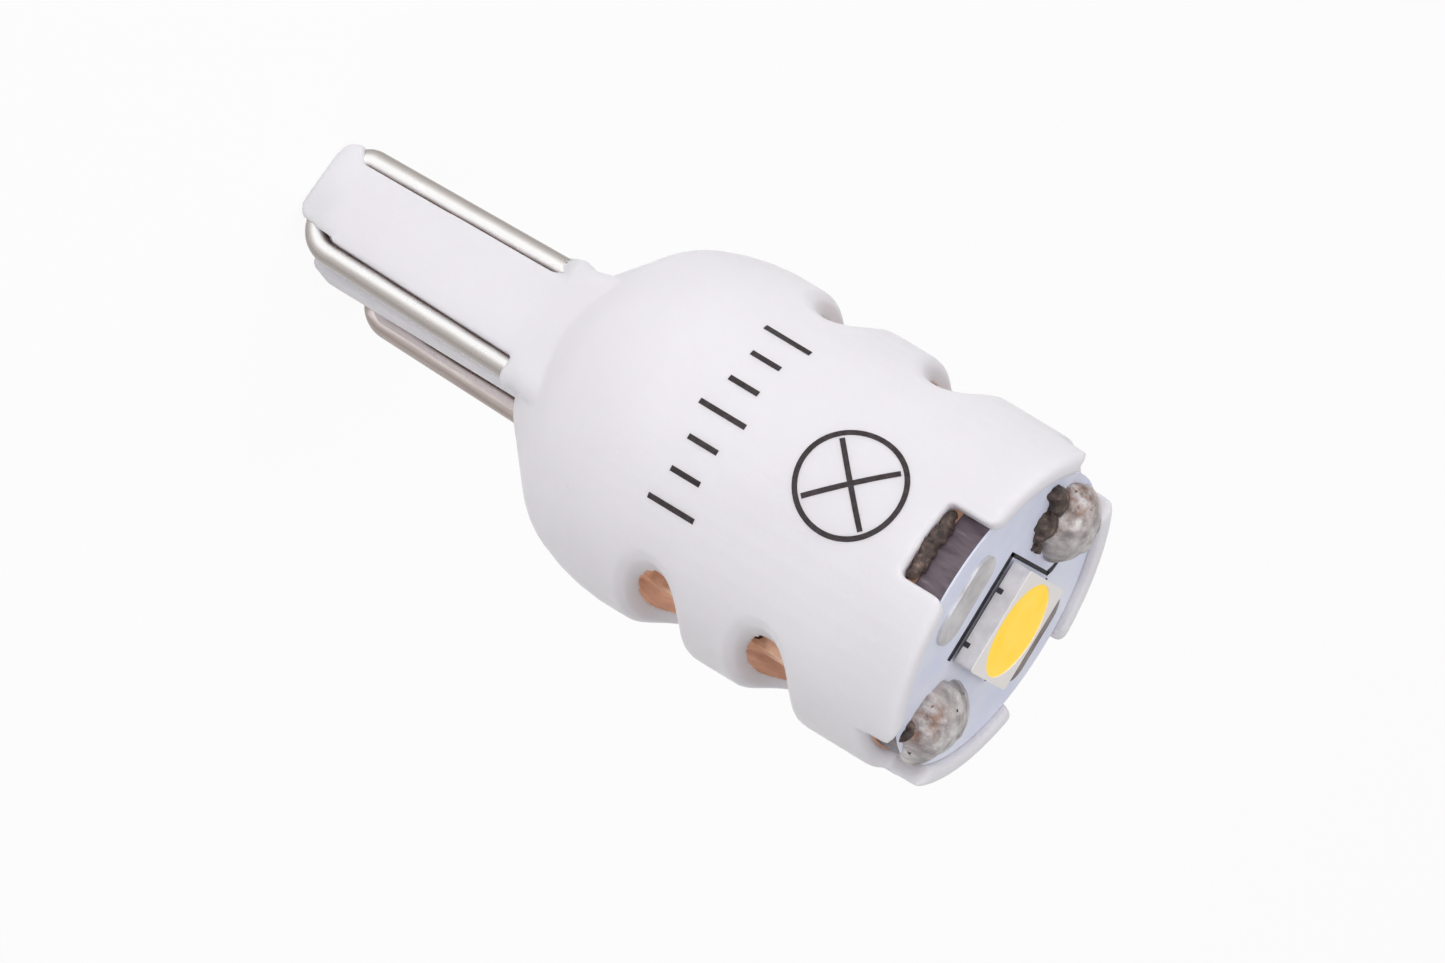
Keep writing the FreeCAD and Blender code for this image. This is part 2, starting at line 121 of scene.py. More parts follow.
# marks on the diode's near side: places along it and heights, then half length and width
DIODE_MARKS, MARK_HALF, MARK_W = ((-0.668, 22.49), (0.99, 22.47)), 0.075, 0.17

# plain marks on the body, by distance round it and height: a row of strokes and a lamp's sign
STROKES, STROKE_GAP, STROKE_Z, STROKE_POINTS = 7, 0.96, 14.6, 9
STROKE_TALL, STROKE_SHORT, STROKE_W = 1.5, 0.95, 0.16
SIGN_AT, SIGN_R, SIGN_W = (-0.17, 18.65), 1.50, 0.15
RING_POINTS, CROSS_POINTS = 72, 23

# ---- stage: lamps by place, width and watts, and the camera
FLOOR_HALF, FLOOR_SHARE = 0.6, 0.93     # metres, and how much of its own white the camera sees
WORLD_LEVEL = 0.46
LAMP_AIM = (0, 0, 12)
LAMPS = {
    "front": ((220, -120, 90), 150, 0.050),
    "tail": ((200, 10, 30), 56, 0.097),
    "top": ((60, -190, 60), 130, 0.056),
    "over": ((60, -10, 260), 150, 0.155),
}
VIEW_SPIN, VIEW_TILT, VIEW_ROLL = 9.66, 19.0, 31.18     # degrees
VIEW_DISTANCE = 161.9                                   # from the rim's centre
FOCAL_PX, FRAME_PX = 6111.0, (1445, 963)
RIM_AT = (1005.5, 623.5)                # where the rim's centre is, in pixels
SENSOR = 36.0


# ---- materials
class Finish:
    """A material's node tree, with short calls that add and join its nodes."""

    def __init__(self, name):
        self.material = bpy.data.materials.new(name)
        self.material.use_nodes = True
        self.tree = self.material.node_tree
        self.shader = self.tree.nodes["Principled BSDF"]
        self.place = self.add("ShaderNodeTexCoord").outputs["Object"]

    def add(self, kind, links=None, **values):
        node = self.tree.nodes.new(kind)
        for key, value in values.items():
            setattr(node, key, value)
        for socket, source in (links or {}).items():
            self.give(node.inputs[socket], source)
        return node

    def give(self, socket, source):
        """Joins a node's output to the socket, or sets the socket to a plain value."""
        if hasattr(source, "is_output"):
            self.tree.links.new(source, socket)
        else:
            socket.default_value = source

    def set(self, **values):
        """Sets the surface shader's inputs, named in small letters."""
        for key, value in values.items():
            socket = key.replace("_", " ").title().replace("Ior", "IOR")
            self.give(self.shader.inputs[socket], value)

    def math(self, kind, *values):
        return self.add("ShaderNodeMath", dict(enumerate(values)), operation=kind).outputs[0]

    def share(self, value, low, high):
        """How far the value lies between two limits: from 0 at the first to 1 at the second."""
        links = {"Value": value, "From Min": low, "From Max": high}
        return self.add("ShaderNodeMapRange", links).outputs[0]

    def coordinate(self, letter):
        """A point's X, Y or Z, in metres."""
        return self.add("ShaderNodeSeparateXYZ", {"Vector": self.place}).outputs[letter]

    def off_axis(self):
        """A point's distance from the bulb's axis, in metres."""
        flat = {"X": self.coordinate("X"), "Y": self.coordinate("Y")}
        flat = self.add("ShaderNodeCombineXYZ", flat).outputs[0]
        return self.add("ShaderNodeVectorMath", {0: flat}, operation="LENGTH").outputs["Value"]

    def noise(self, per_mm, detail=3.0, rough=0.55, stretch=(1, 1, 1)):
        """Noise whose grains are about 1 / per_mm millimetres across."""
        place = self.add("ShaderNodeMapping", {"Vector": self.place, "Scale": stretch})
        links = {"Vector": place.outputs[0], "Scale": per_mm / MM, "Detail": detail,
                 "Roughness": rough}
        return self.add("ShaderNodeTexNoise", links).outputs["Fac"]

    def ramp(self, source, *stops):
        """Colours by value: each stop is a place and a colour or a grey level."""
        node = self.add("ShaderNodeValToRGB", {"Fac": source})
        ramp = node.color_ramp
        while len(ramp.elements) < len(stops):
            ramp.elements.new(0.5)
        for element, (at, colour) in zip(ramp.elements, stops):
            element.position = at
            if not isinstance(colour, tuple):
                colour = (colour, colour, colour)
            element.color = (*colour, 1)
        return node.outputs["Color"]

    def mix(self, share, first, second, blend="MIX"):
        node = self.add("ShaderNodeMix", data_type="RGBA", blend_type=blend)
        colours = [s for s in node.inputs if s.type == "RGBA"]
        self.give(node.inputs[0], share)
        for socket, colour in zip(colours, (first, second)):
            self.give(socket, (*colour, 1) if isinstance(colour, tuple) else colour)
        return [s for s in node.outputs if s.type == "RGBA"][0]

    def rough(self, per_mm, detail, low, high, upto=0.7):
        """Roughness that varies between two values with a noise."""
        self.set(roughness=self.ramp(self.noise(per_mm, detail), (0.3, low), (upto, high)))

    def bump(self, height, depth_mm):
        links = {"Height": height, "Distance": depth_mm * MM, "Strength": 1.0}
        self.set(normal=self.add("ShaderNodeBump", links).outputs[0])


def in_hollow(f):
    """1 for points of the housing in the bore and below the round board, and 0 for the others.

    These points get the painted tan shade and glow.
    """
    z = f.coordinate("Z")
    share = f.math("LESS_THAN", f.off_axis(), INNER_R * MM)
    share = f.math("MULTIPLY", share, f.math("GREATER_THAN", z, HOLLOW_Z * MM))
    return f.math("MULTIPLY", share, f.math("LESS_THAN", z, BOARD_LOW_Z * MM))


def moulded_white():
    """Cool white nylon with a fine mould grain.

    In the hollow the inner wall is painted tan, with a painted glow: shade and light bounced
    from the boards by it.
    """
    f = Finish("moulded_white")
    outer = f.ramp(f.noise(0.18, 2), (0.35, (0.865, 0.835, 0.885)), (0.65, (0.90, 0.875, 0.925)))
    # painted light: the hollow's tan stands for shade and light bounced from the boards, and it
    # also glows
    inner = f.ramp(f.noise(0.9, 4), (0.3, (0.39, 0.215, 0.145)), (0.7, (0.74, 0.50, 0.38)))
    hollow = in_hollow(f)
    f.set(base_color=f.mix(hollow, outer, inner), subsurface_weight=0.35,
          subsurface_radius=(1, 0.85, 0.95), subsurface_scale=0.0008, specular_ior_level=0.5,
          emission_color=inner, emission_strength=f.math("MULTIPLY", hollow, 0.34))
    f.rough(2.2, 4, 0.34, 0.48)
    f.bump(f.noise(7, 5, 0.65), 0.009)
    return f.material


def tinned_wire(name, shade, streak):
    """Bright tinned wire, toned by how far round it a point lies.

    Its tone goes by the cosine of the turn from the open side: painted shade in dark brown
    beside the plastic, a painted highlight in a white band a quarter turn round, and grey on
    the open side. Cloudy noise shifts it a little, and noise drawn out along the wire shifts it
    by the streak.
    """
    f = Finish(name)
    uv = f.add("ShaderNodeUVMap", uv_map="around").outputs[0]
    turn = f.add("ShaderNodeSeparateXYZ", {"Vector": uv}).outputs["X"]
    facing = f.math("COSINE", f.math("MULTIPLY", turn, 2 * math.pi))
    facing = f.math("MULTIPLY_ADD", f.noise(1.3, 4), 0.16, facing)
    facing = f.math("MULTIPLY_ADD", f.noise(2.4, 3, stretch=(1, 1, 0.05)), streak, facing)
    facing = f.math("SUBTRACT", facing, 0.5 * streak)
    # painted light: the white band is a painted highlight, the dark brown beside the plastic
    # painted shade
    tone = f.ramp(f.share(facing, -0.92, 1.08),
                  (0.0, (0.09, 0.05, 0.04)), (0.12, (0.30, 0.24, 0.21)),
                  (0.22, (0.86, 0.84, 0.82)), (0.31, (1.0, 0.99, 0.98)),
                  (0.50, (1.0, 0.99, 0.98)), (0.68, (0.56, 0.52, 0.49)),
                  (0.86, (0.36, 0.325, 0.305)), (1.0, (0.46, 0.42, 0.40)))
    f.set(base_color=f.mix(1.0, tone, shade, "MULTIPLY"), metallic=0.6)
    f.rough(1.6, 4, 0.18, 0.32, 0.75)
    f.bump(f.noise(9, 2, stretch=(1, 1, 0.06)), 0.006)
    return f.material


def board_mask():
    """Pale lavender-white solder mask over a dull core with cutting lines at its edge."""
    f = Finish("board_mask")
    top = f.math("GREATER_THAN", f.coordinate("Z"), (BOARD_Z - MASK_T) * MM)
    mask = f.ramp(f.noise(0.6, 3), (0.35, (0.76, 0.79, 0.96)), (0.7, (0.86, 0.88, 0.98)))
    core = f.ramp(f.noise(5.0, 5, stretch=(1, 1, 0.25)), (0.3, (0.075, 0.055, 0.07)),
                  (0.62, (0.155, 0.115, 0.14)), (0.8, (0.34, 0.30, 0.33)))
    f.set(base_color=f.mix(top, core, mask), specular_ior_level=0.5)
    f.rough(1.5, 3, 0.34, 0.46)
    f.bump(f.noise(4, 4), 0.005)
    return f.material


def board_fibre():
    """Tan glass-fibre laminate with a painted glow, for light through the thin wall round it."""
    f = Finish("board_fibre")
    tone = f.ramp(f.noise(1.6, 5), (0.3, (0.41, 0.22, 0.14)), (0.7, (0.76, 0.51, 0.37)))
    # painted glow: the laminate's tan is also emitted
    f.set(base_color=tone, emission_color=tone, emission_strength=0.30)
    f.rough(2.0, 4, 0.42, 0.58)
    f.bump(f.noise(6, 4), 0.01)
    return f.material


def dull_solder():
    """Dull grey solder: curved brush marks, pits, and brown flux where it meets the near rim."""
    f = Finish("dull_solder")
    tone = f.ramp(f.noise(1.9, 5, 0.6, stretch=(1.5, 1.5, 0.35)), (0.28, (0.32, 0.28, 0.285)),
                  (0.48, (0.57, 0.53, 0.53)), (0.68, (0.82, 0.785, 0.78)))
    pits = f.ramp(f.noise(3.4, 3, 0.6), (0.66, 0.0), (0.72, 1.0))
    tone = f.mix(pits, tone, (0.05, 0.035, 0.03))
    rim = f.share(f.off_axis(), 2.5 * MM, 3.6 * MM)
    near = f.share(f.coordinate("X"), 0.40 * MM, 1.0 * MM)
    patch = f.ramp(f.noise(2.6, 5, 0.7), (0.38, 0.0), (0.60, 0.85))
    burnt = f.math("MULTIPLY", f.math("MULTIPLY", rim, near), patch)
    flux = f.ramp(f.noise(2.2, 4), (0.35, (0.07, 0.032, 0.02)), (0.68, (0.42, 0.19, 0.10)))
    f.set(base_color=f.mix(burnt, tone, flux), metallic=0.35)
    f.rough(2.5, 4, 0.34, 0.58)
    f.bump(f.noise(2.4, 5, 0.6, stretch=(1.5, 1.5, 0.4)), 0.05)
    return f.material


def burnt_flux():
    """Dark brown, glassy flux left round a solder joint."""
    f = Finish("burnt_flux")
    f.set(base_color=f.ramp(f.noise(4, 5), (0.36, (0.030, 0.020, 0.018)),
                            (0.58, (0.10, 0.066, 0.055)), (0.76, (0.30, 0.20, 0.16))))
    f.rough(3, 3, 0.25, 0.6)
    f.bump(f.noise(5, 5, 0.7), 0.03)
    return f.material


def ink(name, tone):
    """Printed ink, a little thin in places."""
    f = Finish(name)
    light = tuple(min(1.0, 1.9 * v + 0.01) for v in tone)
    f.set(base_color=f.ramp(f.noise(6, 4), (0.35, tone), (0.75, light)), specular_ior_level=0.3)
    f.rough(5, 3, 0.45, 0.65)
    f.bump(f.noise(12, 3), 0.003)
    return f.material


def led_resin():
    """Off-white diode resin: a bright top, and side walls painted a cooler grey as shade."""
    f = Finish("led_resin")
    top = f.math("GREATER_THAN", f.coordinate("Z"), (LED_TOP_Z - LED_FACE_T) * MM)
    # painted shade: the side walls are greyer than the top
    wall = f.ramp(f.noise(2.2, 4), (0.3, (0.60, 0.575, 0.60)), (0.7, (0.78, 0.76, 0.775)))
    face = f.ramp(f.noise(1.2, 3), (0.3, (0.95, 0.90, 0.87)), (0.7, (0.98, 0.94, 0.92)))
    f.set(base_color=f.mix(top, wall, face), specular_ior_level=0.5)
    f.rough(3, 3, 0.3, 0.42)
    f.bump(f.noise(6, 3), 0.004)
    return f.material


def phosphor():
    """Saturated yellow phosphor under clear resin, a little lighter in cloudy patches.

    It has a painted glow.
    """
    f = Finish("phosphor")
    grain = f.ramp(f.noise(1.1, 4), (0.3, (1.0, 0.64, 0.03)), (0.72, (1.0, 0.69, 0.09)))
    # painted glow: the phosphor's yellow is also emitted
    f.set(base_color=grain, specular_ior_level=0.25, emission_color=grain,
          emission_strength=0.30)
    f.rough(2.0, 3, 0.30, 0.42)
    f.bump(f.noise(8, 3), 0.003)
    return f.material


def plated(name, low, high, rough):
    """Thin plated metal: uneven tone and fine grain."""
    f = Finish(name)
    f.set(base_color=f.ramp(f.noise(1.4, 5), (0.3, low), (0.7, high)), metallic=0.55)
    f.rough(3, 4, rough, rough + 0.16)
    f.bump(f.noise(5, 5), 0.012)
    return f.material


def moulded_part(name, low, high):
    """Small moulded or fired component."""
    f = Finish(name)
    f.set(base_color=f.ramp(f.noise(3, 4), (0.3, low), (0.7, high)))
    f.rough(4, 3, 0.42, 0.58)
    f.bump(f.noise(9, 4), 0.006)
    return f.material


solder, flux = dull_solder(), burnt_flux()
# the terminals' dark tone: partly solder's, partly painted shade where they show past the diode's
# far side
terminal = plated("terminal_plate", (0.13, 0.10, 0.085), (0.28, 0.235, 0.21), 0.34)
chip = moulded_part("chip_black", (0.02, 0.02, 0.022), (0.04, 0.04, 0.045))
resistor = moulded_part("resistor_black", (0.025, 0.025, 0.03), (0.05, 0.05, 0.06))
capacitor = moulded_part("capacitor_tan", (0.40, 0.26, 0.14), (0.52, 0.37, 0.23))
ink_body = ink("ink_dark", (0.030, 0.022, 0.024))
ink_board = ink("ink_board", (0.022, 0.020, 0.026))
finishes = {
    "housing": moulded_white(),
    "contact_wire_a": tinned_wire("tinned_wire", (1.0, 1.0, 1.0), 0.12),
    # the far wire: a darker, warmer copy as painted shade, its strong streaks painted reflection
    # bands
    "contact_wire_b": tinned_wire("tinned_wire_shaded", (1.0, 0.925, 0.91), 1.7),
    "led_board": board_mask(),
    "driver_board": board_fibre(),
    "led_frame": led_resin(),
    "led_phosphor": phosphor(),
    "oval_pad_a": plated("tinned_pad", (0.60, 0.585, 0.58), (0.86, 0.845, 0.85), 0.30),
    # the far pad: a darker copy, partly painted shade beside the diode's far side
    "oval_pad_b": plated("tinned_pad_dull_shaded", (0.26, 0.215, 0.20), (0.48, 0.43, 0.42), 0.40),
    "led_terminal_a": terminal, "led_terminal_b": terminal,
    "tab_solder_a": solder, "tab_solder_b": solder,
    "wire_joint_a": solder, "wire_joint_b": solder,
    "driver_chip": chip, "rectifier": chip,
    "resistor_a": resistor, "resistor_b": resistor,
    "capacitor_a": capacitor, "capacitor_b": capacitor,
}
for name, node in nodes.items():
    node.data.materials.clear()
    node.data.materials.append(finishes[name])


# ---- shapes
UP = np.array([0.0, 0.0, 1.0])


def unit(v):
    """Vectors scaled to length 1."""
    return v / np.linalg.norm(v, axis=-1, keepdims=True)


def grid_faces(rows, cols, closed=False):
    """Faces over a grid whose columns wrap round, and how many of them are its quads.

    The rows wrap too if closed, or else both ends get a flat cap.
    """
    index = np.arange(rows * cols).reshape(rows, cols)
    here = index if closed else index[:-1]
    there = np.roll(index, -1, axis=0) if closed else index[1:]
    quads = np.stack([here, np.roll(here, -1, axis=1), np.roll(there, -1, axis=1), there], axis=-1)
    faces = quads.reshape(-1, 4).tolist()
    if not closed:
        faces += [index[0][::-1].tolist(), index[-1].tolist()]
    return faces, here.size


def add_piece(name, mesh):
    """Puts a finished mesh in the scene, on the bulb's one body."""
    mesh.update()
    piece = bpy.data.objects.new(name, mesh)
    bpy.context.scene.collection.objects.link(piece)
    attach(piece, "root")
    return piece


def surface(name, grid, material, closed=False, smooth=True):
    """Piece whose skin is a grid of points in mm: rows along it, columns around it.

    Its UV map gives each quad's place around and along the piece, from 0 to 1.
    """
    rows, cols = grid.shape[:2]
    faces, skin = grid_faces(rows, cols, closed)
    mesh = bpy.data.meshes.new(name)
    mesh.from_pydata((grid.reshape(-1, 3) * MM).tolist(), [], faces)
    flags = np.zeros(len(faces), bool)
    flags[:skin] = smooth
    mesh.polygons.foreach_set("use_smooth", flags)
    count = skin // cols
    u = np.arange(cols + 1) / cols
    v = np.arange(count + 1) / rows
    around = np.stack([u[:-1], u[1:], u[1:], u[:-1]], axis=-1)[None]
    along = np.stack([v[:-1], v[:-1], v[1:], v[1:]], axis=-1)[:, None]
    places = np.zeros((sum(len(face) for face in faces), 2))
    places[:skin * 4, 0] = np.broadcast_to(around, (count, cols, 4)).reshape(-1)
    places[:skin * 4, 1] = np.broadcast_to(along, (count, cols, 4)).reshape(-1)
    layer = mesh.uv_layers.new(name="around")
    layer.data.foreach_set("uv", places.reshape(-1))
    mesh.materials.append(material)
    return add_piece(name, mesh)


def rounded_line(corners, radii, steps):
    """Points along straight runs joined by tangent arcs, each arc swept about its own centre."""
    corners = np.asarray(corners, float)
    parts = [corners[:1]]
    for before, corner, after, radius in zip(corners, corners[1:], corners[2:], radii):
        a, b = unit(before - corner), unit(after - corner)
        half = math.acos(float(a @ b)) / 2
        middle = corner + unit(a + b) * radius / math.sin(half)
        first = corner + a * radius / math.tan(half)
        start = unit(first - middle)
        side = unit(-a - start * float(-a @ start))
        turn = np.linspace(0, math.pi - 2 * half, steps)[:, None]
        parts.append(middle + radius * (np.cos(turn) * start + np.sin(turn) * side))
    parts.append(corners[-1:])
    return np.concatenate(parts)


def fine(path, gap):
    """The path with extra points, so that none is further than the gap from the next."""
    steps = np.linalg.norm(np.diff(path, axis=0), axis=1)
    length = np.concatenate([[0], np.cumsum(steps)])
    extra = np.linspace(0, length[-1], int(length[-1] / gap) + 2)
    where = np.unique(np.round(np.concatenate([length, extra]), 5))
    where = where[np.concatenate([[True], np.diff(where) > 0.02])]
    return np.stack([np.interp(where, length, path[:, i]) for i in range(3)], axis=1)


def face_half(z):
    """Half thickness of the wedge at a height: it grows evenly from the tip."""
    return (WEDGE_T[0] + (WEDGE_T[1] - WEDGE_T[0]) * (z - LIFT) / WEDGE_RUN) / 2


def wire_y(z):
    """Distance of a wire's centre line from the middle plane, on a straight line up the wedge."""
    low, high = (face_half(v + LIFT) + WIRE_R - WIRE_SINK for v in (WIRE_R, FOOT_Z))
    return low + (high - low) * (z - LIFT - WIRE_R) / (FOOT_Z - WIRE_R)


def contact_wire(name, side):
    """Hairpin wire: a circle swept along a path of straight runs and round bends.

    The section starts on the side away from the wedge, so the first column is the open side that
    the painted highlight and shade are turned from.
    """
    x, board_x = side * WIRE_X, side * WIRE_BOARD_X
    tip = WIRE_R + LIFT
    y_in, y_tip, y_blind = (side * wire_y(z) for z in (WIRE_IN_Z, tip, WIRE_BLIND_Z))
    corners = [(board_x, y_in, WIRE_END_Z), (board_x, y_in, WIRE_END_Z - WIRE_END_RUN),
               (x, y_in, WIRE_IN_Z), (x, y_tip, tip), (x, -y_tip, tip),
               (x, -y_blind, WIRE_BLIND_Z)]
    bends = [WIRE_BEND_R] * 4
    bends[2 if side < 0 else 3] = WIRE_TIGHT_R
    path = fine(rounded_line(corners, bends, BEND_STEPS), PATH_GAP)
    ahead = unit(np.gradient(path, axis=0))
    out = unit(np.cross([float(side), 0, 0], ahead))
    across = np.cross(ahead, out)
    turn = np.linspace(0, 2 * np.pi, WIRE_SIDES, endpoint=False)[None, :, None]
    ring = np.cos(turn) * out[:, None] + np.sin(turn) * across[:, None]
    grid = path[:, None] + WIRE_R * ring
    return surface(name + "_drawn", grid, finishes[name])


def bar(name, path, up, width, material, closed=False):
    """Flat ink stroke: a low rectangle swept along a path, its back sunk in the surface below."""
    if closed:
        step = np.roll(path, -1, axis=0) - np.roll(path, 1, axis=0)
    else:
        step = np.gradient(path, axis=0)
    side = unit(np.cross(up, unit(step)))
    corners = [(-0.5, -1.0), (0.5, -1.0), (0.5, 1.0), (-0.5, 1.0)]
    grid = np.stack([path + side * width * a + up * INK_T * b for a, b in corners], axis=1)
    return surface(name, grid, material, closed, smooth=False)


def on_body(along, height):
    """Points on the body's tapered side, by distance round it from the X axis and by height.

    Also the way out at each point: the cosine and sine of that distance over the radius.
    """
    radius = BODY_R - BODY_DRAFT * (height - BODY_FROM_Z) / (RIM_Z - BODY_FROM_Z)
    angle = along / BODY_R
    out = np.stack([np.cos(angle), np.sin(angle), np.zeros_like(angle)], axis=-1)
    points = out * radius[:, None]
    points[:, 2] = height
    return points, out


def printed(name, along, height, width, closed=False):
    """Ink stroke that follows the body's curved side."""
    points, out = on_body(along, height)
    return bar(name, points, out, width, ink_body, closed)


def lumpy_mound(name, centre, half, seed, material, lumps=0.07):
    """Mound: a dome of radius cos(rise) and height sin(rise), swollen by a few smooth waves."""
    turn = np.linspace(0, 2 * np.pi, DOME_SIDES, endpoint=False)[None, :]
    rise = np.linspace(0, np.pi / 2 - DOME_TIP, DOME_ROWS)
    rise = np.concatenate([[-DOME_FOOT], rise])[:, None]
    waves = np.zeros((rise.size, turn.size))
    for i, (a, b) in enumerate(DOME_WAVES):
        wave = np.sin(a * turn + seed * (1.7 + i) + b * rise) * np.cos(rise)
        waves = waves + wave / (1 + 0.5 * i)
    swell = 1 + lumps * waves
    grid = np.stack([centre[0] + half[0] * swell * np.cos(rise) * np.cos(turn),
                     centre[1] + half[1] * swell * np.cos(rise) * np.sin(turn),
                     centre[2] + half[2] * (1 + lumps * 0.6 * waves) * np.sin(rise)], axis=-1)
    return surface(name, grid, material)


def lumpy_bead(name, path, half, seed, lumps):
    """Rough bead of glue or flux: an oval swept along a path, its size changed by a few waves."""
    path = np.asarray(path, float)
    rows = np.linspace(0, 1, BEAD_ROWS)
    where = np.linspace(0, 1, len(path))
    middle = np.stack([np.interp(rows, where, path[:, i]) for i in range(3)], axis=1)
    turn = np.linspace(0, 2 * np.pi, BEAD_SIDES, endpoint=False)[None, :]
    along = rows[:, None] * 2 * np.pi
    waves = np.zeros((BEAD_ROWS, BEAD_SIDES))
    for i, (a, b) in enumerate(BEAD_WAVES):
        waves = waves + np.sin(a * turn + seed * (1.3 + i) + b * along) / (1 + 0.6 * i)
    swell = (1 + lumps * waves) * (0.25 + 0.75 * np.sin(np.pi * rows[:, None]) ** 0.35)
    out = unit(middle * (1, 1, 0))
    grid = (middle[:, None] + (half[0] * swell * np.cos(turn))[..., None] * out[:, None]
            + (half[1] * swell * np.sin(turn))[..., None] * UP)
    return surface(name, grid[:, ::-1], flux)


def rounded_block(sections, r, steps=6):
    """Points and faces of a closed block with round corners, one ring of points a section."""
    rings = []
    quarter = np.linspace(0, np.pi / 2, steps)
    for half_x, half_y, mid_y, z in sections:
        ring = []
        for i, (sx, sy) in enumerate(((1, 1), (-1, 1), (-1, -1), (1, -1))):
            turn = quarter + i * np.pi / 2
            ring.append(np.stack([sx * (half_x - r) + r * np.cos(turn),
                                  mid_y + sy * (half_y - r) + r * np.sin(turn),
                                  np.full(steps, z)], axis=-1))
        rings.append(np.concatenate(ring))
    grid = np.stack(rings)
    faces, _ = grid_faces(*grid.shape[:2])
    return grid.reshape(-1, 3), faces


def housing_shell():
    """Points in mm and faces of the CAD's housing, with the edges of BEAD_Z cut back.

    Points by a +Y wire and between the two heights go up to the higher one.
    """
    source = nodes["housing"].data
    points = np.empty(len(source.vertices) * 3)
    source.vertices.foreach_get("co", points)
    points = points.reshape(-1, 3) / MM
    leg_y = np.sign(points[:, 1]) * wire_y(BEAD_Z[1])
    off_wire = np.hypot(np.abs(points[:, 0]) - WIRE_X, points[:, 1] - leg_y)
    edge = (off_wire < BEAD_REACH) & (points[:, 1] > 0)
    edge &= (points[:, 2] > BEAD_Z[0]) & (points[:, 2] < BEAD_Z[1])
    points[edge, 2] = BEAD_Z[1]
    return points, [list(p.vertices) for p in source.polygons]


def soft_housing():
    """The moulded housing with soft edges: the CAD's shell and the fillings in one skin.

    The fillings are the roots round the wires' ends, the thicker -Y edge of the wedge's tip, and
    plates that close the slots' edges on the wires. All go on one grid of small cubes, whose
    skin is smoothed and then thinned.
    """
    points, faces, start = [], [], 0
    for place, skin in [housing_shell()] + [rounded_block(*filling) for filling in FILLINGS]:
        points.append(place)
        faces += [[i + start for i in face] for face in skin]
        start += len(place)
    rough = bpy.data.meshes.new("housing_rough")
    rough.from_pydata((np.concatenate(points) * MM).tolist(), [], faces)
    shape = bmesh.new()
    shape.from_mesh(rough)
    bmesh.ops.remove_doubles(shape, verts=shape.verts, dist=WELD)
    shape.to_mesh(rough)
    shape.free()
    piece = bpy.data.objects.new("housing_rough", rough)
    bpy.context.scene.collection.objects.link(piece)
    join = piece.modifiers.new("join", "REMESH")
    join.mode, join.voxel_size = "VOXEL", SKIN_STEP * MM
    relax = piece.modifiers.new("relax", "SMOOTH")
    relax.factor, relax.iterations = 0.5, SKIN_RELAX
    piece.modifiers.new("thin", "DECIMATE").ratio = SKIN_KEEP
    done = piece.evaluated_get(bpy.context.evaluated_depsgraph_get())
    mesh = bpy.data.meshes.new_from_object(done)
    bpy.data.objects.remove(piece)
    mesh.name = "housing_skin"
    mesh.polygons.foreach_set("use_smooth", np.ones(len(mesh.polygons), bool))
    mesh.materials.clear()
    mesh.materials.append(finishes["housing"])
    return add_piece("housing_skin", mesh)


# ---- pieces shown for the CAD's plain ones
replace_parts(soft_housing(), "housing")
for tag, side in (("a", 1), ("b", -1)):
    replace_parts(contact_wire("contact_wire_" + tag, side), "contact_wire_" + tag)
for tag, side in (("a", 1), ("b", -1)):
    dome = lumpy_mound("tab_solder_" + tag + "_drawn", (DOME_AT[0], side * DOME_AT[1], BOARD_Z),
                       DOME_HALF, 2.0 + side, solder)
    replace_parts(dome, "tab_solder_" + tag)

# ---- burnt flux, and rough dark glue under the round board's edge
for i, (x, y, *half) in enumerate(FLUX_SPOTS):
    lumpy_mound("flux_" + str(i + 1), (x, y, BOARD_Z), half, 3.1 + i, flux, 0.16)
edge = np.linspace(-GLUE_RUN, GLUE_RUN, 9)
edge = np.stack([np.sqrt(GLUE_R ** 2 - edge ** 2), edge, np.full(9, GLUE_Z)], axis=1)
lumpy_bead("edge_glue", edge, GLUE_HALF, 1.9, 0.15)
lumpy_bead("vent_flux", VENT_FLUX, VENT_FLUX_HALF, 2.4, 0.2)

# ---- printed lines and a dark far line round the diode, and marks on its near side
LED_OUT = np.array([math.cos(math.radians(LED_TURN)), math.sin(math.radians(LED_TURN)), 0.0])
LED_ALONG = np.array([-LED_OUT[1], LED_OUT[0], 0.0])


def by_led(out, along, z):
    """Point placed from the diode's middle: outward to its near side, along that side, height."""
    return LED_OUT * out + LED_ALONG * along + UP * z


for name, (spots, width) in BOARD_LINES.items():
    path = np.array([by_led(a, b, BOARD_Z) for a, b in spots])
    bar(name, path, np.tile(UP, (len(path), 1)), width, ink_board)
for i, (along, z) in enumerate(DIODE_MARKS):
    path = np.array([by_led(LED_HALF, along + a, z) for a in (-MARK_HALF, 0.0, MARK_HALF)])
    bar("diode_mark_" + str(i + 1), path, np.tile(LED_OUT, (3, 1)), MARK_W, ink_board)

# ---- plain printed marks on the body: every third stroke is tall
for i in range(STROKES):
    half = (STROKE_SHORT if i % 3 else STROKE_TALL) / 2
    along = (i - (STROKES - 1) / 2) * STROKE_GAP
    height = np.linspace(STROKE_Z - half, STROKE_Z + half, STROKE_POINTS)
    printed("stroke_" + str(i + 1), np.full(STROKE_POINTS, along), height, STROKE_W)
turn = np.linspace(0, 2 * np.pi, RING_POINTS, endpoint=False)
printed("lamp_ring", SIGN_AT[0] + SIGN_R * np.cos(turn), SIGN_AT[1] + SIGN_R * np.sin(turn),
        SIGN_W, True)
run = np.linspace(-1, 1, CROSS_POINTS) * (SIGN_R - SIGN_W) * math.sqrt(0.5)
for i, slope in enumerate((1, -1)):
    printed("lamp_cross_" + str(i + 1), SIGN_AT[0] + run, SIGN_AT[1] + slope * run, SIGN_W)


